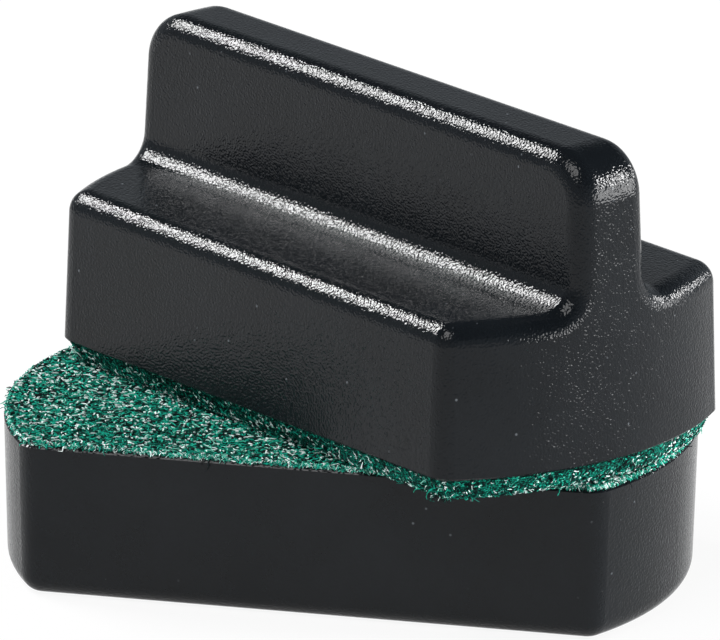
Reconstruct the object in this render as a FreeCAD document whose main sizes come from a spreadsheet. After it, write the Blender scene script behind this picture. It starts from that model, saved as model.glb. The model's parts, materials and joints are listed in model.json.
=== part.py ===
import FreeCAD, Part
import math
import os
import Sketcher

V = FreeCAD.Vector

doc = FreeCAD.newDocument("MagneticEraser")

# ---------------------------------------------------------------- driving dimensions, mm and degrees
DIMENSIONS = [
    # plan outline shared by both halves, measured at the rim beside the felt
    ("half_length", 32.31, "middle of the bulged end to the centre"),
    ("half_width", 17.10, "long side to the centre"),
    ("end_radius", 30.24, "plan radius of the bulged ends"),
    ("corner_radius", 2.63, "plan radius of the four corners"),
    # moulded shells
    ("block_height", 14.65, "rim to the outer face of the plain half"),
    ("block_draft", 1.58, "draft of the plain half"),
    ("block_edge_radius", 1.81, "rounding round the outer face of the plain half"),
    ("ledge_height", 14.59, "rim to the finger ledges of the grip half"),
    ("fin_height", 14.39, "finger ledges to the top of the fin"),
    ("grip_draft", 1.83, "draft of the grip half's sides and ends"),
    ("fin_top_thickness", 7.85, "fin thickness at its top, before rounding"),
    ("fin_draft", 1.89, "draft of the fin's two flanks"),
    ("foot_radius", 2.30, "hollow rounding where the fin meets the ledges"),
    ("grip_edge_radius", 2.15, "one rounding that runs round ledges, fin ends and fin top"),
    ("fin_corner_radius", 4.76, "rounding of the fin's top corners, seen from the side"),
    ("rim_break", 0.20, "edge break of both rims beside the felt"),
    ("wall", 1.90, "shell wall at the rim; the outer draft thins it inwards"),
    ("slot_half_length", 26.20, "slot inside the fin"),
    ("slot_wall", 1.80, "wall between that slot and the fin's flanks and top"),
    ("rim_wall", 1.15, "wall outside the seat of the base plate"),
    # pieces inside each half, stacked inwards from the rim
    ("plate_thick", 1.60, "base plate"),
    ("plate_play", 0.10, "gap round the base plate in its seat"),
    ("frame_height", 3.00, "frame that holds the magnets on the base plate"),
    ("frame_wall", 1.20, "wall of that frame"),
    ("magnet_half_length", 9.00, "block magnets"),
    ("magnet_half_width", 8.00, "block magnets"),
    ("magnet_thick", 5.00, "block magnets"),
    ("magnet_play", 0.10, "gap between magnet and frame"),
    ("magnet_spacing", 25.00, "centre to centre"),
    ("backing_half_length", 22.50, "steel backing plate"),
    ("backing_half_width", 9.00, "steel backing plate"),
    ("backing_thick", 1.50, "steel backing plate"),
    # felt and its adhesive
    ("block_felt_thick", 0.43, "thin felt of the plain half"),
    ("grip_felt_thick", 2.11, "thick felt of the grip half"),
    ("tape_thick", 0.12, "double-sided adhesive"),
    ("block_felt_inset", 0.30, "rim to felt edge on the plain half"),
    ("grip_felt_inset", 0.75, "rim to felt edge on the grip half"),
    ("tape_inset", 1.00, "rim to adhesive edge"),
    ("felt_gap", 0.02, "between the two felt faces"),
    # how the grip half stands on the plain half
    ("turn_angle", 36.70, "clockwise, seen from above"),
    ("offset_x", 2.565, "centre of the grip half from the centre of the plain half"),
    ("offset_y", 3.82, "the same, across"),
]

sheet = doc.addObject("Spreadsheet::Sheet", "dims")
for row, (alias, value, meaning) in enumerate(DIMENSIONS, start=1):
    sheet.set("A%d" % row, alias)
    sheet.set("B%d" % row, "%g" % value)
    sheet.set("C%d" % row, meaning)
    sheet.setAlias("B%d" % row, alias)
doc.recompute()


def val(expression):
    """The present value of an expression over the sheet."""
    return float(sheet.evalExpression(expression))


def d(alias):
    return "dims.%s" % alias


# ---------------------------------------------------------------- helpers
def origin_feature(body, role):
    return next(f for f in body.Origin.OriginFeatures if f.Role == role)


def new_body(name):
    body = doc.addObject("PartDesign::Body", name)
    body.Label = name
    return body


def new_sketch(body, name, role="XY_Plane", lift=None):
    """A sketch on one of the body's own origin planes, lifted along its normal."""
    sketch = body.newObject("Sketcher::SketchObject", name)
    sketch.AttachmentSupport = (origin_feature(body, role), [""])
    sketch.MapMode = "FlatFace"
    if lift:
        sketch.setExpression("AttachmentOffset.Base.z", lift)
    return sketch


def bind(sketch, constraint, name, expression):
    """Adds a driving constraint, names it and ties it to the sheet."""
    index = sketch.addConstraint(constraint)
    sketch.renameConstraint(index, name)
    sketch.setExpression("Constraints." + name, expression)


def outline_sketch(body, name, inset, lift=None):
    """The plan outline, moved inwards by inset: straight sides, bulged ends, round corners."""
    move_in = val(inset)
    end_r = val(d("end_radius")) - move_in
    corner_r = val(d("corner_radius")) - move_in
    if corner_r < 0.3:
        raise RuntimeError("the outline's corner vanishes in " + name)
    half_b = val(d("half_width")) - move_in
    centre = val(d("half_length")) - val(d("end_radius"))
    corner_y = half_b - corner_r
    corner_x = centre + math.sqrt((end_r - corner_r) ** 2 - corner_y ** 2)
    join = math.atan2(corner_y, corner_x - centre)
    up = V(0, 0, 1)
    sketch = new_sketch(body, name, lift=lift)

    def arc(cx, cy, radius, start, end):
        return Part.ArcOfCircle(Part.Circle(V(cx, cy, 0), up, radius), start, end)

    half_turn = math.pi
    quarter = math.pi / 2
    sketch.addGeometry([
        arc(centre, 0, end_r, -join, join),
        arc(corner_x, corner_y, corner_r, join, quarter),
        Part.LineSegment(V(corner_x, half_b, 0), V(-corner_x, half_b, 0)),
        arc(-corner_x, corner_y, corner_r, quarter, half_turn - join),
        arc(-centre, 0, end_r, half_turn - join, half_turn + join),
        arc(-corner_x, -corner_y, corner_r, half_turn + join, 3 * quarter),
        Part.LineSegment(V(-corner_x, -half_b, 0), V(corner_x, -half_b, 0)),
        arc(corner_x, -corner_y, corner_r, 3 * quarter, 2 * half_turn - join),
    ], False)
    for side in range(8):
        sketch.addConstraint(Sketcher.Constraint("Tangent", side, 2, (side + 1) % 8, 1))
    sketch.addConstraint(Sketcher.Constraint("PointOnObject", 0, 3, -1))
    sketch.addConstraint(Sketcher.Constraint("Symmetric", 0, 3, 4, 3, -1, 1))
    sketch.addConstraint(Sketcher.Constraint("Equal", 0, 4))
    for corner in (3, 5, 7):
        sketch.addConstraint(Sketcher.Constraint("Equal", 1, corner))
    sketch.addConstraint(Sketcher.Constraint("Horizontal", 2))
    sketch.addConstraint(Sketcher.Constraint("Horizontal", 6))
    bind(sketch, Sketcher.Constraint("DistanceX", -1, 1, 0, 3, centre), "end_centre",
         "dims.half_length - dims.end_radius")
    bind(sketch, Sketcher.Constraint("Radius", 0, end_r), "end_r", "dims.end_radius - (%s)" % inset)
    bind(sketch, Sketcher.Constraint("Radius", 1, corner_r), "corner_r",
         "dims.corner_radius - (%s)" % inset)
    bind(sketch, Sketcher.Constraint("DistanceY", -1, 1, 2, 1, half_b), "side_up",
         "dims.half_width - (%s)" % inset)
    bind(sketch, Sketcher.Constraint("DistanceY", 6, 1, -1, 1, half_b), "side_down",
         "dims.half_width - (%s)" % inset)
    return sketch


def pad(body, name, sketch, length, taper=None, reverse=False):
    feature = body.newObject("PartDesign::Pad", name)
    feature.Profile = sketch
    feature.setExpression("Length", length)
    if taper:
        feature.setExpression("TaperAngle", taper)
    feature.Reversed = reverse
    return finished(body, feature)


def pocket(body, name, sketch, length, taper=None, both_ways=False):
    """Cuts away from the rim into the shell, so along +Z, which is a pocket's reversed sense."""
    before = body.Shape.Volume
    feature = body.newObject("PartDesign::Pocket", name)
    feature.Profile = sketch
    feature.setExpression("Length", length)
    if taper:
        feature.setExpression("TaperAngle", taper)
    if both_ways:
        feature.SideType = "Symmetric"
    else:
        feature.Reversed = True
    finished(body, feature)
    if feature.Shape.Volume > before - 1.0:
        raise RuntimeError(name + " cuts nothing")
    return feature


def finished(body, feature):
    """Recomputes and stops at the first feature that failed."""
    body.Tip = feature
    doc.recompute()
    if "Invalid" in feature.State or "Error" in feature.State or feature.Shape.isNull():
        raise RuntimeError("%s failed in %s" % (feature.Name, body.Name))
    return feature


def hide_sketches():
    for item in doc.Objects:
        if item.TypeId == "Sketcher::SketchObject":
            item.Visibility = False


def sharp_edges(shape, above):
    """Names of the edges above a height where two faces meet at an angle."""
    names = []
    for number, edge in enumerate(shape.Edges, start=1):
        if edge.BoundBox.ZMin < above or edge.Length < 1e-3:
            continue
        faces = shape.ancestorsOfType(edge, Part.Face)
        middle = edge.valueAt((edge.FirstParameter + edge.LastParameter) / 2)
        normals = [f.normalAt(*f.Surface.parameter(middle)) for f in faces]
        if len(normals) == 2 and normals[0].getAngle(normals[1]) > math.radians(8):
            names.append("Edge%d" % number)
    return names


def fillet(body, name, edges, radius):
    base = body.Tip
    feature = body.newObject("PartDesign::Fillet", name)
    feature.Base = (base, edges)
    feature.setExpression("Radius", radius)
    return finished(body, feature)


def rectangles(body, name, lift, spans, half_width):
    """Rectangles side by side, each between two ends along X and centred on the X axis."""
    sketch = new_sketch(body, name, lift=lift)
    for index, (left, right) in enumerate(spans):
        x0, x1, y = val(left), val(right), val(half_width)
        first = sketch.GeometryCount
        corners = [V(x0, -y, 0), V(x1, -y, 0), V(x1, y, 0), V(x0, y, 0)]
        sketch.addGeometry(
            [Part.LineSegment(corners[side], corners[(side + 1) % 4]) for side in range(4)], False)
        for side in range(4):
            sketch.addConstraint(
                Sketcher.Constraint("Coincident", first + side, 2, first + (side + 1) % 4, 1))
        for side in (0, 2):
            sketch.addConstraint(Sketcher.Constraint("Horizontal", first + side))
            sketch.addConstraint(Sketcher.Constraint("Vertical", first + side + 1))
        tag = "field%d_" % index
        bind(sketch, Sketcher.Constraint("DistanceX", -1, 1, first, 1, x0), tag + "left", left)
        bind(sketch, Sketcher.Constraint("DistanceX", -1, 1, first, 2, x1), tag + "right", right)
        bind(sketch, Sketcher.Constraint("DistanceY", first, 1, -1, 1, y), tag + "near", half_width)
        bind(sketch, Sketcher.Constraint("DistanceY", -1, 1, first + 2, 1, y), tag + "far", half_width)
    return sketch


def rim_break(body, name):
    """Chamfers the outer edge of the rim, beside the felt."""
    base = body.Tip
    edges = []
    for number, edge in enumerate(base.Shape.Edges, start=1):
        if edge.BoundBox.ZMax < 0.01:
            edges.append("Edge%d" % number)
    feature = body.newObject("PartDesign::Chamfer", name)
    feature.Base = (base, edges)
    feature.setExpression("Size", d("rim_break"))
    finished(body, feature)


def hollow(body, prefix, ceiling):
    """Room for the magnets and their backing plate, and the seat of the base plate at the rim."""
    room = outline_sketch(body, prefix + "_room_outline", d("wall"))
    pocket(body, prefix + "_room", room, ceiling)
    seat = outline_sketch(body, prefix + "_seat_outline", d("rim_wall"))
    pocket(body, prefix + "_seat", seat, d("plate_thick"))


def place_half(body, grip):
    """Each body is modelled with its rim plane at z = 0 and its shell above it."""
    if grip:
        body.Placement = FreeCAD.Placement(V(0, 0, 0), FreeCAD.Rotation(V(0, 0, -1), val(d("turn_angle"))))
        body.setExpression("Placement.Rotation.Angle", d("turn_angle"))
        body.setExpression("Placement.Base.x", d("offset_x"))
        body.setExpression("Placement.Base.y", d("offset_y"))
        body.setExpression("Placement.Base.z",
                           "dims.block_height + 2 * dims.tape_thick + dims.block_felt_thick"
                           " + dims.grip_felt_thick + dims.felt_gap")
    else:
        body.Placement = FreeCAD.Placement(V(0, 0, 0), FreeCAD.Rotation(V(1, 0, 0), 180))
        body.setExpression("Placement.Base.z", d("block_height"))


# ---------------------------------------------------------------- plain half: tray
def make_block_shell():
    body = new_body("block_shell")
    outline = outline_sketch(body, "block_outline", "0")
    solid = pad(body, "block_solid", outline, d("block_height"), taper="-dims.block_draft")
    edges = sharp_edges(solid.Shape, val(d("block_height")) - 0.01)
    fillet(body, "block_rounding", edges, d("block_edge_radius"))
    rim_break(body, "block_rim")
    hollow(body, "block", "dims.block_height - dims.wall")
    return body


# ---------------------------------------------------------------- grip half: cap with its fin
def fin_side_sketch(body):
    """What is cut away beside the fin: over the ledge, up the hollow foot and along the flank."""
    sketch = new_sketch(body, "beside_fin", role="YZ_Plane")
    over = 3.0
    draft = math.radians(val(d("fin_draft")))
    ledge = val(d("ledge_height"))
    top = ledge + val(d("fin_height"))
    half_top = val(d("fin_top_thickness")) / 2
    radius = val(d("foot_radius"))
    side = val(d("half_width")) + over
    # centre of the foot rounding: radius above the ledge and radius away from the flank
    foot_z = ledge + radius
    flank_at_foot = half_top + (top - foot_z) * math.tan(draft)
    foot_y = flank_at_foot + radius / math.cos(draft)
    touch = V(foot_y - radius * math.cos(draft), foot_z - radius * math.sin(draft), 0)
    head = V(half_top - over * math.tan(draft), top + over, 0)
    circle = Part.Circle(V(foot_y, foot_z, 0), V(0, 0, 1), radius)
    sketch.addGeometry([
        Part.LineSegment(V(side, ledge, 0), V(foot_y, ledge, 0)),
        Part.ArcOfCircle(circle, math.pi + draft, 1.5 * math.pi),
        Part.LineSegment(touch, head),
        Part.LineSegment(head, V(side, top + over, 0)),
        Part.LineSegment(V(side, top + over, 0), V(side, ledge, 0)),
    ], False)
    sketch.addConstraint(Sketcher.Constraint("Tangent", 0, 2, 1, 2))
    sketch.addConstraint(Sketcher.Constraint("Tangent", 1, 1, 2, 1))
    sketch.addConstraint(Sketcher.Constraint("Coincident", 2, 2, 3, 1))
    sketch.addConstraint(Sketcher.Constraint("Coincident", 3, 2, 4, 1))
    sketch.addConstraint(Sketcher.Constraint("Coincident", 4, 2, 0, 1))
    sketch.addConstraint(Sketcher.Constraint("Horizontal", 0))
    sketch.addConstraint(Sketcher.Constraint("Horizontal", 3))
    sketch.addConstraint(Sketcher.Constraint("Vertical", 4))
    bind(sketch, Sketcher.Constraint("DistanceY", -1, 1, 0, 1, ledge), "ledge_z", d("ledge_height"))
    bind(sketch, Sketcher.Constraint("DistanceY", -1, 1, 3, 1, top + over), "over_z",
         "dims.ledge_height + dims.fin_height + %g" % over)
    bind(sketch, Sketcher.Constraint("DistanceX", -1, 1, 4, 1, side), "side_y",
         "dims.half_width + %g" % over)
    bind(sketch, Sketcher.Constraint("Radius", 1, radius), "foot_r", d("foot_radius"))
    bind(sketch, Sketcher.Constraint("DistanceX", -1, 1, 2, 2, head.x), "head_y",
         "dims.fin_top_thickness / 2 - %g * tan(dims.fin_draft * 1deg)" % over)
    bind(sketch, Sketcher.Constraint("Angle", -1, 1, 2, 1, math.pi / 2 + draft), "flank_angle",
         "90deg + dims.fin_draft * 1deg")
    return sketch


def make_grip_shell():
    body = new_body("grip_shell")
    outline = outline_sketch(body, "grip_outline", "0")
    pad(body, "grip_solid", outline, "dims.ledge_height + dims.fin_height", taper="-dims.grip_draft")
    beside = pocket(body, "beside_fin_cut", fin_side_sketch(body), "4 * dims.half_length", both_ways=True)
    other = body.newObject("PartDesign::Mirrored", "beside_fin_cut_far")
    other.Originals = [beside]
    other.MirrorPlane = (origin_feature(body, "XZ_Plane"), [""])
    finished(body, other)
    # the fin's top corners, seen from the side
    top = val("dims.ledge_height + dims.fin_height")
    corners = []
    for number, edge in enumerate(other.Shape.Edges, start=1):
        box = edge.BoundBox
        if box.ZMin > top - 0.01 and box.YMin < -1 and box.YMax > 1:
            corners.append("Edge%d" % number)
    fillet(body, "fin_corners", corners, d("fin_corner_radius"))
    # one rounding over both ledges, up the fin's ends and along its top
    loop = sharp_edges(body.Tip.Shape, val(d("ledge_height")) - 0.2)
    fillet(body, "grip_rounding", loop, d("grip_edge_radius"))
    rim_break(body, "grip_rim")
    hollow(body, "grip", "dims.ledge_height - dims.wall")
    slot = rectangles(body, "fin_slot_outline", "dims.ledge_height - dims.wall",
                      [("-dims.slot_half_length", "dims.slot_half_length")],
                      "dims.fin_top_thickness / 2 - dims.slot_wall")
    pocket(body, "fin_slot", slot, "dims.fin_height + dims.wall - dims.slot_wall")
    return body


# ---------------------------------------------------------------- pieces that both halves have
MAGNETS = {"left": "-dims.magnet_spacing / 2", "right": "dims.magnet_spacing / 2"}


def magnet_span(side, play):
    """Both ends of a magnet along X, with some play round it."""
    reach = "(dims.magnet_half_length + %s)" % play
    return "%s - %s" % (MAGNETS[side], reach), "%s + %s" % (MAGNETS[side], reach)


def make_base_plate(half):
    """Closes the shell; its frame holds both magnets."""
    body = new_body(half + "_base_plate")
    outline = outline_sketch(body, half + "_plate_outline", "dims.rim_wall + dims.plate_play")
    pad(body, half + "_plate", outline, d("plate_thick"))
    reach = "dims.magnet_spacing / 2 + dims.magnet_half_length + dims.magnet_play + dims.frame_wall"
    seat_width = "dims.magnet_half_width + dims.magnet_play"
    frame = rectangles(body, half + "_frame_outline", d("plate_thick"),
                       [("-(%s)" % reach, reach)], seat_width + " + dims.frame_wall")
    pad(body, half + "_frame", frame, d("frame_height"))
    seats = rectangles(body, half + "_magnet_seats", d("plate_thick"),
                       [magnet_span(side, d("magnet_play")) for side in MAGNETS], seat_width)
    pocket(body, half + "_seats", seats, "dims.frame_height + 1")
    return body


def make_magnet(half, side):
    body = new_body("%s_magnet_%s" % (half, side))
    tag = "%s_%s_magnet" % (half, side)
    sketch = rectangles(body, tag + "_outline", d("plate_thick"), [magnet_span(side, "0")],
                        d("magnet_half_width"))
    pad(body, tag + "_pad", sketch, d("magnet_thick"))
    return body


def make_backing_plate(half):
    """Steel sheet across the backs of both magnets."""
    body = new_body(half + "_backing_plate")
    sketch = rectangles(body, half + "_backing_outline", "dims.plate_thick + dims.magnet_thick",
                        [("-dims.backing_half_length", "dims.backing_half_length")],
                        d("backing_half_width"))
    pad(body, half + "_backing", sketch, d("backing_thick"))
    return body


def make_sheet(half, suffix, inset, start, thickness):
    """A flat layer below the rim plane, from start down by its thickness."""
    body = new_body("%s_%s" % (half, suffix))
    outline = outline_sketch(body, "%s_%s_outline" % (half, suffix), inset, lift="-(%s)" % start)
    pad(body, "%s_%s_layer" % (half, suffix), outline, thickness, reverse=True)
    return body


bodies = []
for half_name, is_grip in (("block", False), ("grip", True)):
    made = [make_grip_shell() if is_grip else make_block_shell()]
    made.append(make_base_plate(half_name))
    made.append(make_magnet(half_name, "left"))
    made.append(make_magnet(half_name, "right"))
    made.append(make_backing_plate(half_name))
    made.append(make_sheet(half_name, "tape_sheet", d("tape_inset"), "0", d("tape_thick")))
    made.append(make_sheet(half_name, "felt_pad", d(half_name + "_felt_inset"), d("tape_thick"),
                           d(half_name + "_felt_thick")))
    for half_body in made:
        place_half(half_body, is_grip)
    bodies += made

hide_sketches()
doc.recompute()

# ---------------------------------------------------------------- check and write
for item in doc.Objects:
    if "Invalid" in item.State or "Error" in item.State:
        raise RuntimeError("%s did not recompute" % item.Name)
    if item.TypeId == "Sketcher::SketchObject" and not item.FullyConstrained:
        raise RuntimeError("%s is not fully constrained" % item.Name)

os.makedirs("parts", exist_ok=True)
for half_body in bodies:
    shape = half_body.Shape
    if shape.isNull() or not shape.isValid() or len(shape.Solids) != 1:
        raise RuntimeError(half_body.Label + " is not one valid solid")
    shape.exportStep("parts/%s.step" % half_body.Label)
    box = shape.BoundBox
    print("%-22s %9.1f mm3  z %6.2f to %6.2f" % (half_body.Label, shape.Volume, box.ZMin, box.ZMax))
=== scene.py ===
"""Two-part magnetic felt eraser: camera, light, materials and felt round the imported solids.

Lengths are in metres. The felt is worked out in millimetres, and its meshes are scaled by MM.
"""
import json
import math

import bpy
import numpy as np
from mathutils import Matrix, Vector


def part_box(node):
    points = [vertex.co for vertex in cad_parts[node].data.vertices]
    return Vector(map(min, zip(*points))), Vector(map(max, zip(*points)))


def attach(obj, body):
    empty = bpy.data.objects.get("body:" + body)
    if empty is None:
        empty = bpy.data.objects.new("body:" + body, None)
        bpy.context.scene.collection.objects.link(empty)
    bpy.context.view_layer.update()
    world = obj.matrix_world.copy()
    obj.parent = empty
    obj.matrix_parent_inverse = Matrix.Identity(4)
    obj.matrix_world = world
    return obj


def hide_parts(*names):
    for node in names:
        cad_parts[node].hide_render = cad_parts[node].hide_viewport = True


MM = 0.001

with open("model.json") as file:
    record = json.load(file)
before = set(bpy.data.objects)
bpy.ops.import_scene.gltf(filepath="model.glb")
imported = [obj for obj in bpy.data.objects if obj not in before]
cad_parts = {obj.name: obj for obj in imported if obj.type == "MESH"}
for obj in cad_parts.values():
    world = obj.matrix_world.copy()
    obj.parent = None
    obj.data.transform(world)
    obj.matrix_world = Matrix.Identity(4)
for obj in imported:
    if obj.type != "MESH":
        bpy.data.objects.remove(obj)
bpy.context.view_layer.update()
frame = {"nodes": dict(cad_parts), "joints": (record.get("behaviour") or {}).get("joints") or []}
nodes = frame["nodes"]
twist = frame["joints"][0]

# Plan outline of both halves, as in the CAD source, mm
HALF_LENGTH = 32.31
HALF_WIDTH = 17.10
END_RADIUS = 30.24
CORNER_RADIUS = 2.63
TURN = math.radians(36.70)

# Each felt: rim to its edge beside the shell, the same at the working face, depth of loose fibre, mm
FELT_INSET = {"block": 0.12, "grip": 0.45}
FACE_INSET = {"block": 0.30, "grip": 1.50}
NAP = {"block": 0.20, "grip": 0.08}
SEEDS = {
    "block": {"core": 11, "nap_a": 31, "nap_b": 41, "nap_c": 61, "fringe": 51},
    "grip": {"core": 12, "nap_a": 32, "nap_b": 42, "nap_c": 62, "fringe": 52},
}

# The dense felt: rounding of its outer edge, how far that runs in, spacing of rings on the face, mm
EDGE_RADIUS = 0.3
EDGE_RUN = 0.25
EDGE_STEPS = 6
FACE_STEP = 0.32
FACE_MIDDLE = 1.0

# Fibre shades, in the order in which the shares below give them
SHADES = {
    "fibre_pale": (0.90, 1.0, 0.98),
    "fibre_mint": (0.26, 0.66, 0.54),
    "fibre_green": (0.003, 0.460, 0.320),
    "fibre_deep": (0.001, 0.150, 0.110),
    # near-black fibres: partly the felt's own dark fibres, partly painted shade of the holes between fibres
    "fibre_dark_and_shade": (0.001, 0.006, 0.008),
}
# Loose fibres on the face, from the dense felt outwards: number, share of each shade,
# heights as parts of the nap, radius in mm and how much they curl. The lower layers hold more of the
# near-black fibres, painted shade deep in the nap.
NAP_LAYERS = {
    "nap_a": (8000, (0.05, 0.06, 0.43, 0.10, 0.36), (0.00, 0.30), 0.064, 3.0),
    "nap_b": (7000, (0.10, 0.10, 0.48, 0.06, 0.26), (0.15, 0.50), 0.062, 3.0),
    "nap_c": (4600, (0.50, 0.08, 0.18, 0.02, 0.22), (0.40, 0.80), 0.058, 4.0),
}
NAP_LENGTH = (0.38, 0.85)
FIBRE_RINGS = 5

# Loose fibres round the edge: number, long strays among them, share of each shade
FRINGE_COUNT = 7000
STRAY_COUNT = 160
FRINGE_SHARES = {
    "block": (0.15, 0.12, 0.34, 0.15, 0.24),
    # the upper felt's edge takes mostly deep and near-black fibres: painted shade of its side, which faces
    # down under the rim
    "grip": (0.13, 0.06, 0.14, 0.25, 0.42),
}
FRINGE_LENGTH = (0.30, 0.65)
FRINGE_RADIUS = (0.042, 0.070)
FRINGE_HEIGHT = 0.13
# The last strays of the upper felt hang in a tuft at its near corner, mm
TUFT_COUNT = 60
TUFT_PLACE = (27.0, -HALF_WIDTH)
TUFT_SPREAD = 3.5
TUFT_REACH = 0.15
TUFT_DROP = 0.45

# ------------------------------------------------------------------ camera
AZIMUTH = math.radians(12.620)
ELEVATION = math.radians(17.880)
ROLL = math.radians(0.553)
DISTANCE = 1.25834
LENS = 679.366
SENSOR = 36.0
AIM_HEIGHT = 0.025
AIM_RIGHT = 0.000730
AIM_UP = -0.001256


def make_camera():
    back = Vector((math.sin(AZIMUTH) * math.cos(ELEVATION),
                   -math.cos(AZIMUTH) * math.cos(ELEVATION),
                   math.sin(ELEVATION)))
    right = (-back).cross(Vector((0, 0, 1))).normalized()
    up = right.cross(-back)
    aim = Vector((0, 0, AIM_HEIGHT)) + right * AIM_RIGHT + up * AIM_UP
    rolled_right = right * math.cos(ROLL) + up * math.sin(ROLL)
    rolled_up = up * math.cos(ROLL) - right * math.sin(ROLL)
    data = bpy.data.cameras.new("camera")
    data.sensor_width = SENSOR
    data.lens = LENS
    data.clip_start = 0.01
    data.clip_end = 20
    camera = bpy.data.objects.new("camera", data)
    turned = Matrix((rolled_right, rolled_up, back)).transposed().to_4x4()
    camera.matrix_world = Matrix.Translation(aim + back * DISTANCE) @ turned
    bpy.context.scene.collection.objects.link(camera)
    bpy.context.scene.camera = camera


# ------------------------------------------------------------------ light and stage
LIGHT_TARGET = (0, 0, 0.030)
SKY_COLOUR = (0.88, 0.94, 1.0, 1)
SKY_LOW, SKY_HIGH = 0.42, 0.02
TABLE_HALF = 0.6
TABLE_Z = -0.00002
TABLE_GLOW = 0.90


def area_light(name, place, size, size_y, power, roll=0.0):
    """A lamp at this place, turned to the object."""
    data = bpy.data.lights.new(name, "AREA")
    data.shape = "RECTANGLE"
    data.size = size
    data.size_y = size_y
    data.energy = power
    light = bpy.data.objects.new(name, data)
    direction = Vector(LIGHT_TARGET) - Vector(place)
    light.matrix_world = (Matrix.Translation(place)
                          @ direction.to_track_quat("-Z", "Y").to_matrix().to_4x4()
                          @ Matrix.Rotation(math.radians(roll), 4, "Z"))
    bpy.context.scene.collection.objects.link(light)


def direction_at(azimuth, elevation, distance):
    """A place seen from the object: azimuth 0 is -Y, 90 is +X."""
    a, e = math.radians(azimuth), math.radians(elevation)
    return Vector((math.sin(a) * math.cos(e), -math.cos(a) * math.cos(e), math.sin(e))) * distance


def make_lights():
    area_light("key_left", direction_at(-108, 39.5, 0.60), 0.12, 0.30, 3.7, 62)
    area_light("rim_right", direction_at(100, 27, 0.55), 0.10, 0.12, 1.9)
    area_light("side_right", direction_at(93, 6.5, 0.60), 0.60, 0.20, 4.6)
    area_light("rim_back", direction_at(134, 15, 0.60), 0.14, 0.09, 0.9)
    area_light("front_top", direction_at(-22, 56, 0.75), 0.4, 0.4, 3.2)


def make_world():
    """A soft light from low down, and almost none from above."""
    world = bpy.data.worlds.new("world")
    bpy.context.scene.world = world
    world.use_nodes = True
    tree = world.node_tree
    sky = tree.nodes["Background"]
    sky.inputs["Color"].default_value = SKY_COLOUR
    height = tree.nodes.new("ShaderNodeSeparateXYZ")
    tree.links.new(tree.nodes.new("ShaderNodeTexCoord").outputs["Generated"], height.inputs[0])
    strength = spread(tree, height.outputs["Z"], 0.34, 0.56, SKY_LOW, SKY_HIGH)
    tree.links.new(strength, sky.inputs["Strength"])


def make_stage():
    """A white table top: white to the camera and in reflections, with a little of the shadow."""
    half, low = TABLE_HALF, TABLE_Z
    corners = [(-half, -half, low), (half, -half, low), (half, half, low), (-half, half, low)]
    mesh = bpy.data.meshes.new("table_top")
    mesh.from_pydata(corners, [], [(0, 1, 2, 3)])
    floor = bpy.data.objects.new("table_top", mesh)
    bpy.context.scene.collection.objects.link(floor)
    material = bpy.data.materials.new("table_white")
    material.use_nodes = True
    tree = material.node_tree
    tree.nodes.clear()
    out = tree.nodes.new("ShaderNodeOutputMaterial")
    paint = tree.nodes.new("ShaderNodeBsdfDiffuse")
    paint.inputs["Color"].default_value = (0.80, 0.80, 0.80, 1)
    glow = tree.nodes.new("ShaderNodeEmission")
    glow.inputs["Color"].default_value = (1, 1, 1, 1)
    glow.inputs["Strength"].default_value = 1.0
    path = tree.nodes.new("ShaderNodeLightPath")
    seen = path.outputs["Is Camera Ray"]
    for kind in ("Is Glossy Ray", "Is Transmission Ray"):
        seen = math_node(tree, "MAXIMUM", seen, path.outputs[kind])
    mix = tree.nodes.new("ShaderNodeMixShader")
    tree.links.new(math_node(tree, "MULTIPLY", seen, TABLE_GLOW), mix.inputs["Fac"])
    tree.links.new(paint.outputs[0], mix.inputs[1])
    tree.links.new(glow.outputs[0], mix.inputs[2])
    tree.links.new(mix.outputs[0], out.inputs["Surface"])
    mesh.materials.append(material)


# ------------------------------------------------------------------ shader nodes
def new_material(name):
    material = bpy.data.materials.new(name)
    material.use_nodes = True
    tree = material.node_tree
    tree.nodes.clear()
    out = tree.nodes.new("ShaderNodeOutputMaterial")
    shader = tree.nodes.new("ShaderNodeBsdfPrincipled")
    tree.links.new(shader.outputs[0], out.inputs["Surface"])
    return material, tree, shader


def object_place(tree):
    return tree.nodes.new("ShaderNodeTexCoord").outputs["Object"]


def math_node(tree, operation, *values):
    """A Math node on these sockets or numbers."""
    node = tree.nodes.new("ShaderNodeMath")
    node.operation = operation
    for socket, value in zip(node.inputs, values):
        if isinstance(value, float):
            socket.default_value = value
        else:
            tree.links.new(value, socket)
    return node.outputs[0]


def noise(tree, coordinates, scale, detail=2.0, roughness=0.5):
    node = tree.nodes.new("ShaderNodeTexNoise")
    node.inputs["Scale"].default_value = scale
    node.inputs["Detail"].default_value = detail
    node.inputs["Roughness"].default_value = roughness
    tree.links.new(coordinates, node.inputs["Vector"])
    return node.outputs["Fac"]


def spread(tree, value, low, high, out_low, out_high):
    """Map low to high onto out_low to out_high, held at both ends."""
    node = tree.nodes.new("ShaderNodeMapRange")
    node.inputs["From Min"].default_value = low
    node.inputs["From Max"].default_value = high
    node.inputs["To Min"].default_value = out_low
    node.inputs["To Max"].default_value = out_high
    tree.links.new(value, node.inputs["Value"])
    return node.outputs["Result"]


def colour_ramp(tree, value, stops):
    node = tree.nodes.new("ShaderNodeValToRGB")
    ramp = node.color_ramp
    while len(ramp.elements) < len(stops):
        ramp.elements.new(0.5)
    for element, (position, colour) in zip(ramp.elements, stops):
        element.position = position
        element.color = (*colour, 1)
    tree.links.new(value, node.inputs["Fac"])
    return node.outputs["Color"]


def bump(tree, height, strength, distance):
    node = tree.nodes.new("ShaderNodeBump")
    node.inputs["Strength"].default_value = strength
    node.inputs["Distance"].default_value = distance
    tree.links.new(height, node.inputs["Height"])
    return node.outputs["Normal"]


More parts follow.
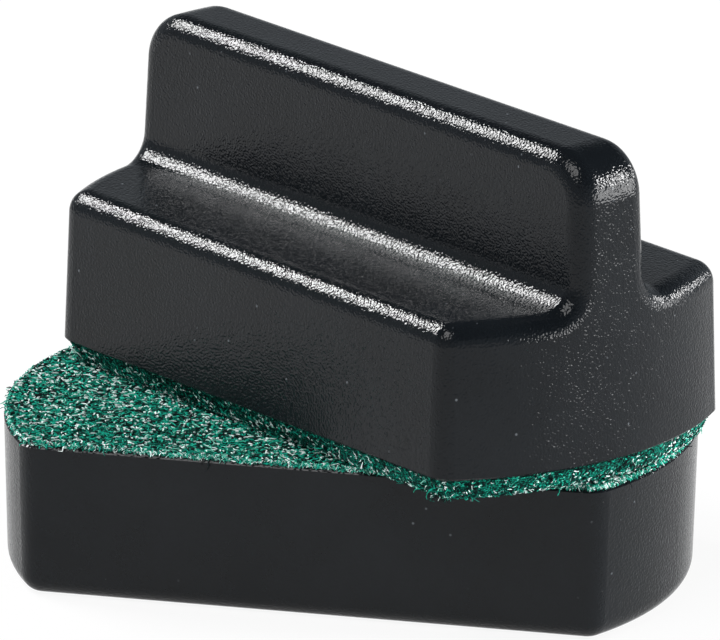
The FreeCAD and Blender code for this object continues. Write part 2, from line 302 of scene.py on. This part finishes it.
# ------------------------------------------------------------------ materials
GRAIN_SCALE = 4700
GRAIN_DEPTH = 0.000043
PLASTIC_IOR = 1.30
DUST_COLOUR = (0.10, 0.11, 0.12, 1)
FELT_SCALE = 4600
FELT_DEPTH = 0.00010


def black_plastic():
    """Moulded ABS with a fine spark-eroded grain and a few pale dust specks."""
    material, tree, shader = new_material("black_plastic")
    place = object_place(tree)
    grain = noise(tree, place, GRAIN_SCALE, 0.0)
    cloud = noise(tree, place, 120, 3.0, 0.6)
    shade = colour_ramp(tree, cloud, [(0.3, (0.0040, 0.0052, 0.0066)), (0.7, (0.0062, 0.0078, 0.0096))])
    dust = tree.nodes.new("ShaderNodeTexVoronoi")
    dust.inputs["Scale"].default_value = 520
    dust.inputs["Randomness"].default_value = 1.0
    tree.links.new(place, dust.inputs["Vector"])
    speck = spread(tree, dust.outputs["Distance"], 0.045, 0.075, 1.0, 0.0)
    rare = spread(tree, noise(tree, place, 300, 1.0), 0.52, 0.60, 0.0, 1.0)
    mix = tree.nodes.new("ShaderNodeMix")
    mix.data_type = "RGBA"
    tree.links.new(math_node(tree, "MULTIPLY", speck, rare), mix.inputs["Factor"])
    tree.links.new(shade, mix.inputs[6])
    mix.inputs[7].default_value = DUST_COLOUR
    tree.links.new(mix.outputs[2], shader.inputs["Base Color"])
    tree.links.new(spread(tree, grain, 0.3, 0.7, 0.10, 0.14), shader.inputs["Roughness"])
    tree.links.new(bump(tree, grain, 1.0, GRAIN_DEPTH), shader.inputs["Normal"])
    shader.inputs["IOR"].default_value = PLASTIC_IOR
    # the grain shades itself at a low angle, so the gloss falls off there
    weight = tree.nodes.new("ShaderNodeLayerWeight")
    weight.inputs["Blend"].default_value = 0.5
    level = spread(tree, weight.outputs["Facing"], 0.42, 0.70, 0.5, 0.16)
    tree.links.new(level, shader.inputs["Specular IOR Level"])
    return material


def plain_piece(name, colour, metallic, roughness, scale):
    """Hidden pieces: a finish with slight unevenness."""
    material, tree, shader = new_material(name)
    cloud = noise(tree, object_place(tree), scale, 3.0, 0.6)
    darker = tuple(0.8 * c for c in colour)
    tree.links.new(colour_ramp(tree, cloud, [(0.3, darker), (0.7, colour)]), shader.inputs["Base Color"])
    tree.links.new(spread(tree, cloud, 0.3, 0.7, roughness, roughness + 0.12), shader.inputs["Roughness"])
    shader.inputs["Metallic"].default_value = metallic
    return material


def felt_core_material():
    """Dense felt between the loose fibres: deep green and pale flecks, with painted shade, near black, in
    the pits of its bump.
    """
    material, tree, shader = new_material("felt_core")
    place = object_place(tree)
    fine = noise(tree, place, FELT_SCALE, 2.0, 0.6)
    clumps = noise(tree, place, 1100, 2.0, 0.5)
    total = math_node(tree, "MULTIPLY_ADD", fine, 0.80, spread(tree, clumps, 0, 1, 0, 0.20))
    # the dark low end of this ramp is painted shade: it falls where the same noise sets the bump low, in the
    # pits
    colour = colour_ramp(tree, total, [
        (0.42, (0.000, 0.003, 0.004)),
        (0.51, (0.000, 0.040, 0.030)),
        (0.59, (0.002, 0.220, 0.150)),
        (0.66, (0.010, 0.420, 0.300)),
        (0.71, (0.500, 0.800, 0.700)),
    ])
    tree.links.new(colour, shader.inputs["Base Color"])
    shader.inputs["Roughness"].default_value = 0.95
    shader.inputs["Specular IOR Level"].default_value = 0.1
    tree.links.new(bump(tree, fine, 0.9, FELT_DEPTH), shader.inputs["Normal"])
    return material


def fibre_material(name, colour):
    material, _, shader = new_material(name)
    shader.inputs["Base Color"].default_value = (*colour, 1)
    shader.inputs["Roughness"].default_value = 0.7
    shader.inputs["Specular IOR Level"].default_value = 0.2
    return material


# ------------------------------------------------------------------ plan and placing of the felts
def outline(inset, count_end=60, count_corner=10, count_side=110):
    """The plan outline, mm, anticlockwise, moved inwards by inset."""
    end_r = END_RADIUS - inset
    corner_r = max(CORNER_RADIUS - inset, 0.3)
    half_b = HALF_WIDTH - inset
    centre = HALF_LENGTH - END_RADIUS
    corner_y = half_b - corner_r
    corner_x = centre + math.sqrt((end_r - corner_r) ** 2 - corner_y ** 2)
    join = math.atan2(corner_y, corner_x - centre)
    end = np.linspace(-join, join, count_end, endpoint=False)
    turn = np.linspace(join, math.pi / 2, count_corner, endpoint=False)
    side = np.linspace(corner_x, -corner_x, count_side, endpoint=False)
    first = np.concatenate([
        np.stack([centre + end_r * np.cos(end), end_r * np.sin(end)], 1),
        np.stack([corner_x + corner_r * np.cos(turn), corner_y + corner_r * np.sin(turn)], 1),
        np.stack([side, np.full(count_side, half_b)], 1),
    ])
    turn = np.linspace(math.pi / 2, math.pi - join, count_corner, endpoint=False)
    second = np.stack([-corner_x + corner_r * np.cos(turn), corner_y + corner_r * np.sin(turn)], 1)
    half = np.concatenate([first, second])
    return np.concatenate([half, -half])


def inside(points, inset):
    """True where plan points, mm, lie in the outline moved inwards by inset."""
    centre = HALF_LENGTH - END_RADIUS
    x, y = np.abs(points[:, 0]), np.abs(points[:, 1])
    return (y < HALF_WIDTH - inset) & ((x - centre) ** 2 + y ** 2 < (END_RADIUS - inset) ** 2)


def half_matrix(half):
    """From a half's own frame, rim plane at z = 0 and felt below it, to the row frame, in mm."""
    if half == "block":
        _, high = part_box("block_shell")
        return Matrix.Translation((0, 0, high.z / MM)) @ Matrix.Rotation(math.pi, 4, "X")
    low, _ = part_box("grip_shell")
    x, y = twist["pos_m"][0] / MM, twist["pos_m"][1] / MM
    return Matrix.Translation((x, y, low.z / MM)) @ Matrix.Rotation(-TURN, 4, "Z")


def moved(points, matrix):
    m = np.array(matrix)
    flat = points.reshape(-1, 3)
    return (flat @ m[:3, :3].T + m[:3, 3]).reshape(points.shape)


def add_mesh(name, points, faces, materials, which=None):
    """A smooth mesh object, points in millimetres. which gives each face's material."""
    mesh = bpy.data.meshes.new(name)
    mesh.from_pydata((points * MM).tolist(), [], faces)
    for material in materials:
        mesh.materials.append(material)
    if which is not None:
        mesh.polygons.foreach_set("material_index", which)
    mesh.polygons.foreach_set("use_smooth", [True] * len(mesh.polygons))
    mesh.update()
    thing = bpy.data.objects.new(name, mesh)
    bpy.context.scene.collection.objects.link(thing)
    return thing


# ------------------------------------------------------------------ dense felt
def lumps(points, size, seed):
    """Smooth unevenness from about -1 to 1 at each point. Size is its wavelength, mm."""
    rng = np.random.default_rng(seed)
    total = np.zeros(len(points))
    waves = 24
    for _ in range(waves):
        angle = rng.uniform(0, 2 * math.pi)
        length = size * rng.uniform(0.6, 1.7)
        lean = rng.uniform(-0.5, 0.5)
        way = np.array([math.cos(angle), math.sin(angle), lean])
        total += np.sin(points @ way * 2 * math.pi / length + rng.uniform(0, 2 * math.pi))
    return total / math.sqrt(waves)


def core_rings(half, top, face):
    """Inset and depth of each ring, and the inset at which the flat face starts."""
    first, last = FELT_INSET[half], FACE_INSET[half]
    corner = min(EDGE_RADIUS, 0.8 * (face - top))
    slope = (last - first) / (face - top)
    rings = [(first, top)]
    for depth in np.linspace(top, face - corner, EDGE_STEPS)[1:]:
        rings.append((first + slope * (depth - top), depth))
    start = rings[-1][0]
    for angle in np.linspace(0, math.pi / 2, EDGE_STEPS)[1:]:
        rings.append((start + (last - start + EDGE_RUN) * (1 - math.cos(angle)),
                      face - corner * (1 - math.sin(angle))))
    edge = rings[-1][0]
    for inset in np.arange(edge + 0.3, HALF_WIDTH - FACE_MIDDLE, FACE_STEP):
        rings.append((inset, face))
    return rings, edge


def felt_core(half, material, top, face):
    """The dense felt: rings from its rim-side edge, down its sloping edge and over the working face.
    Depths are below the rim plane: the felt starts at top and its dense face is at face."""
    rings, edge = core_rings(half, top, face)
    layers = []
    for inset, depth in rings:
        plan = outline(inset)
        layers.append(np.column_stack([plan, np.full(len(plan), -depth)]))
    count = len(layers[0])
    points = np.concatenate(layers)
    outward = points[:, :2] / np.maximum(np.linalg.norm(points[:, :2], axis=1), 1e-9)[:, None]
    seed = SEEDS[half]["core"]
    uneven = 0.05 * lumps(points, 1.1, seed) + 0.05 * lumps(points, 0.5, seed + 5)
    wavy = 0.06 * lumps(points, 5.0, seed + 9)
    near_edge = np.repeat([inset < edge + 0.1 for inset, _ in rings], count)
    points[:, :2] += outward * np.where(near_edge, uneven * 0.8 + wavy - 0.04, 0)[:, None]
    on_face = np.repeat([depth > face - 0.01 for _, depth in rings], count)
    points[:, 2] += np.where(on_face, np.abs(uneven) * 0.7, 0)
    faces = []
    for ring in range(len(rings) - 1):
        a = ring * count
        for i in range(count):
            j = (i + 1) % count
            faces.append((a + i, a + count + i, a + count + j, a + j))
    tail = (len(rings) - 1) * count
    faces.append(tuple(reversed([tail + i for i in range(count)])))
    faces.append(tuple(range(count)))
    return add_mesh(half + "_felt", moved(points, half_matrix(half)), faces, [material])


# ------------------------------------------------------------------ loose fibres
def tubes(paths, radii):
    """Three-sided tubes along paths (n, k, 3), tapering at both ends. Returns points and faces."""
    n, k, _ = paths.shape
    tangent = np.gradient(paths, axis=1)
    tangent /= np.maximum(np.linalg.norm(tangent, axis=2, keepdims=True), 1e-9)
    side = np.cross(tangent, np.array([0.13, 0.21, 0.97]))
    side /= np.maximum(np.linalg.norm(side, axis=2, keepdims=True), 1e-9)
    other = np.cross(side, tangent)
    taper = 0.35 + 0.65 * np.sin(np.linspace(0.12, math.pi - 0.12, k))
    size = radii[:, None, None] * taper[None, :, None]
    corners = []
    for angle in (math.pi / 2, math.pi * 7 / 6, math.pi * 11 / 6):
        corners.append(paths + size * (side * math.cos(angle) + other * math.sin(angle)))
    points = np.stack(corners, axis=2)          # n, k, 3 corners, xyz
    base = np.arange(n) * (k * 3)
    quads = []
    for ring in range(k - 1):
        this, after = base + ring * 3, base + (ring + 1) * 3
        for c in range(3):
            d = (c + 1) % 3
            quads.append(np.stack([this + c, this + d, after + d, after + c], 1))
    faces = np.stack(quads, 1).reshape(-1, 4)
    return points.reshape(-1, 3), faces


def curled_paths(rng, start, normal, length, bend, lift):
    """Curled fibres centred on start (n, 3), lying on a surface with these normals, arching out of it."""
    n = len(start)
    any_way = rng.normal(0, 1, (n, 3))
    along = any_way - (any_way * normal).sum(1, keepdims=True) * normal
    along /= np.linalg.norm(along, axis=1, keepdims=True)
    beside = np.cross(normal, along)
    tilt = rng.uniform(0, lift, n)[:, None]
    second = beside * np.cos(tilt) + normal * np.sin(tilt)
    angle = bend[:, None] * np.linspace(-0.5, 0.5, FIBRE_RINGS)[None, :]
    step = (length / (FIBRE_RINGS - 1))[:, None, None]
    move = (np.cos(angle)[:, :, None] * along[:, None] + np.sin(angle)[:, :, None] * second[:, None]) * step
    paths = np.cumsum(move, axis=1)
    middle = FIBRE_RINGS // 2
    paths -= paths[:, middle:middle + 1]
    return paths + start[:, None]


def fibres(rng, paths, thin, thick, name, half, shades, shares):
    """One mesh of fibres, each in one of the shades. The first shade's fibres are a little thicker."""
    n = len(paths)
    kinds = rng.choice(len(shades), n, p=shares)
    points, faces = tubes(paths, rng.uniform(thin, thick, n) * np.where(kinds == 0, 1.15, 1.0))
    which = np.repeat(kinds, len(faces) // n)
    return add_mesh(name, moved(points, half_matrix(half)), faces.tolist(), shades, which)


def nap(half, layer, shades, face):
    """One layer of loose curled fibres on the working face."""
    count, shares, (deep, high), radius, bend = NAP_LAYERS[layer]
    rng = np.random.default_rng(SEEDS[half][layer])
    spots = rng.uniform((-HALF_LENGTH, -HALF_WIDTH), (HALF_LENGTH, HALF_WIDTH), (count * 2, 2))
    spots = spots[inside(spots, FACE_INSET[half] + 0.10)][:count]
    n = len(spots)
    start = np.column_stack([spots, -face - rng.uniform(deep, high, n) * NAP[half]])
    normal = np.tile((0.0, 0.0, -1.0), (n, 1))
    paths = curled_paths(rng, start, normal, rng.uniform(*NAP_LENGTH, n), rng.normal(0, bend, n), 1.3)
    paths[:, :, 2] = np.clip(paths[:, :, 2], -face - NAP[half] + 0.05, -face + 0.03)
    return fibres(rng, paths, radius, 1.5 * radius, half + "_felt_" + layer, half, shades, shares)


def fringe(half, shades, top, face):
    """Fibres on the felt's sloping edge, and a few long ones that stand out and droop."""
    rng = np.random.default_rng(SEEDS[half]["fringe"])
    has_tuft = half == "grip"
    plan = outline(FELT_INSET[half], 240, 24, 440)
    to_next = np.roll(plan, -1, axis=0) - plan
    total = FRINGE_COUNT + STRAY_COUNT
    pick = rng.integers(0, len(plan), total)
    if has_tuft:
        from_tuft = np.hypot(plan[:, 0] - TUFT_PLACE[0], plan[:, 1] - TUFT_PLACE[1])
        pick[-TUFT_COUNT:] = rng.choice(np.flatnonzero(from_tuft < TUFT_SPREAD), TUFT_COUNT)
    along = to_next[pick]
    along /= np.maximum(np.linalg.norm(along, axis=1, keepdims=True), 1e-9)
    out = np.column_stack([along[:, 1], -along[:, 0], np.zeros(total)])
    spots = plan[pick] + to_next[pick] * rng.uniform(0, 1, (total, 1))
    # most start anywhere down the edge, the rest near its lower corner
    part = np.where(rng.uniform(0, 1, (total, 1)) < 0.7, rng.uniform(0.03, 1.0, (total, 1)),
                    rng.uniform(0.85, 1.06, (total, 1)))
    widening = FACE_INSET[half] - FELT_INSET[half]
    depth = top + (face - top) * part
    start = np.column_stack([spots, -depth]) + out * (rng.uniform(-0.08, 0.03, (total, 1)) - widening * part)
    normal = out + np.array([0.0, 0.0, -widening / (face - top)])
    normal /= np.linalg.norm(normal, axis=1, keepdims=True)
    paths = curled_paths(rng, start, normal, rng.uniform(*FRINGE_LENGTH, total),
                         rng.normal(0, 3.0, total), 0.7)
    height = ((paths - start[:, None]) * normal[:, None]).sum(2, keepdims=True)
    paths -= np.maximum(height - FRINGE_HEIGHT, 0) * normal[:, None]

    stray = slice(FRINGE_COUNT, None)
    s = np.linspace(0, 1, FIBRE_RINGS)[None, :, None]
    droop = np.array([0.0, 0.0, -1.0 if half == "grip" else 1.0])
    wander = (rng.normal(0, 0.30, (STRAY_COUNT, 1, 3)) * s
              + rng.normal(0, 0.12, (STRAY_COUNT, FIBRE_RINGS, 3)) * s)
    far = rng.uniform(0.15, 0.40, (STRAY_COUNT, 1, 1))
    down = rng.uniform(-0.1, 0.6, (STRAY_COUNT, 1, 1))
    deepest = np.full(total, -face - NAP[half] + 0.04)
    if has_tuft:
        far[-TUFT_COUNT:] += TUFT_REACH
        deepest[-TUFT_COUNT:] -= TUFT_DROP
    paths[stray] = (start[stray, None] + out[stray, None] * far * np.sin(s * 2.0)
                    + droop * down * s * s + wander)
    # what would go past the other half's felt turns back
    paths[:, :, 2] -= 2 * np.minimum(paths[:, :, 2] - deepest[:, None], 0)
    return fibres(rng, paths, *FRINGE_RADIUS, half + "_felt_fringe", half, shades, FRINGE_SHARES[half])


def make_felts():
    core = felt_core_material()
    shades = [fibre_material(name, colour) for name, colour in SHADES.items()]
    for half in ("block", "grip"):
        low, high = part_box(half + "_felt_pad")
        rim = half_matrix(half).translation.z
        near, far = sorted(abs(z / MM - rim) for z in (low.z, high.z))
        face = far - NAP[half]
        body = half + "_half"
        felt = felt_core(half, core, near, face)
        pieces = [nap(half, layer, shades, face) for layer in NAP_LAYERS]
        pieces.append(fringe(half, shades, near, face))
        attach(felt, body)
        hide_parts(half + "_felt_pad")
        for piece in pieces:
            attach(piece, body)


def dress_nodes():
    looks = {
        "shell": black_plastic(),
        "base_plate": plain_piece("plate_plastic", (0.030, 0.030, 0.033), 0.0, 0.5, 300),
        "magnet": plain_piece("magnet_nickel", (0.60, 0.60, 0.61), 1.0, 0.22, 500),
        "backing_plate": plain_piece("zinc_steel", (0.55, 0.56, 0.58), 1.0, 0.35, 700),
        "tape_sheet": plain_piece("adhesive", (0.75, 0.75, 0.72), 0.0, 0.4, 300),
    }
    for name, node in nodes.items():
        if name.endswith("felt_pad"):
            continue
        kind = next(k for k in looks if k in name)
        node.data.materials.clear()
        node.data.materials.append(looks[kind])


make_camera()
make_lights()
make_world()
make_stage()
dress_nodes()
make_felts()

bpy.context.scene.view_settings.view_transform = "Standard"
